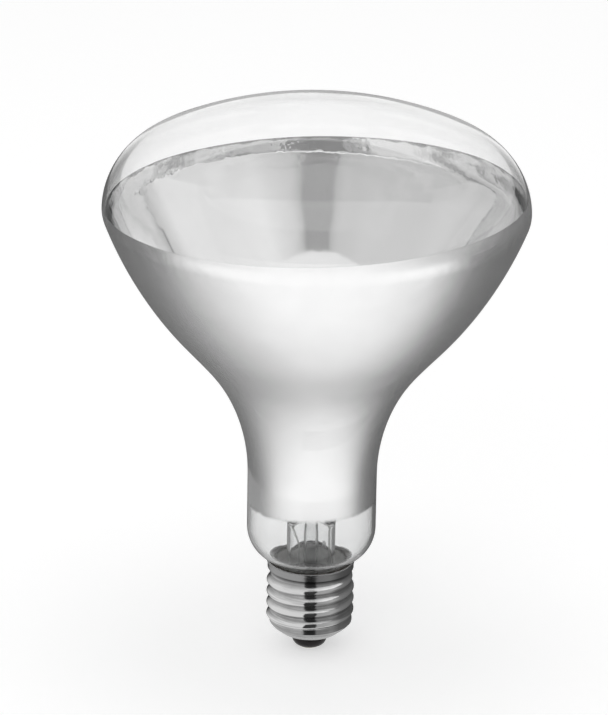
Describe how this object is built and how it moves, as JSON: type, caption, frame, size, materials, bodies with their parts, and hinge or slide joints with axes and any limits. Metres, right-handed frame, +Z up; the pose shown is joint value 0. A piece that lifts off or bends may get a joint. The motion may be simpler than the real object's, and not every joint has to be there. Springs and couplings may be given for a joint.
{
  "type": "heat lamp bulb",
  "caption": "Clear-faced infrared heat lamp bulb with a silvered reflector bowl, a ring filament on a glass stem and a round-threaded screw cap.",
  "frame": {"origin": "centre of the flat under the centre contact, on the lamp's axis", "axes": "+Z up the lamp's axis from the contact to the clear face, +X to the right as the picture shows it, +Y away from the viewer"},
  "size_m": [0.125, 0.125, 0.169],
  "materials": {
    "clear_glass": "gloss",
    "mirror_film": "satin outside, bright inside",
    "nickel": "bright rolled plating",
    "black_glass": "gloss",
    "tinned_contact": "worn bright",
    "solder": "semi-matt",
    "nickel_wire": "drawn",
    "copper_wire": "drawn",
    "tungsten": "drawn, dark",
    "cement": "matt"
  },
  "bodies": {
    "root": {"glass_envelope": "clear_glass", "reflector_coating": "mirror_film", "stem_flare": "clear_glass", "exhaust_tube": "clear_glass", "support_rod": "clear_glass", "filament_coil": "tungsten", "inner_lead_left": "nickel_wire", "inner_lead_right": "nickel_wire", "seal_wire_left": "copper_wire", "seal_wire_right": "copper_wire", "contact_lead": "nickel_wire", "rim_lead": "nickel_wire", "screw_cap": "nickel", "base_insulator": "black_glass", "contact_eyelet": "tinned_contact", "contact_solder": "solder", "basing_cement": "cement", "rim_solder": "solder", "support_hook_1": "tungsten", "support_hook_2": "tungsten", "support_hook_3": "tungsten", "support_hook_4": "tungsten", "support_hook_5": "tungsten"}
  },
  "joints": []
}
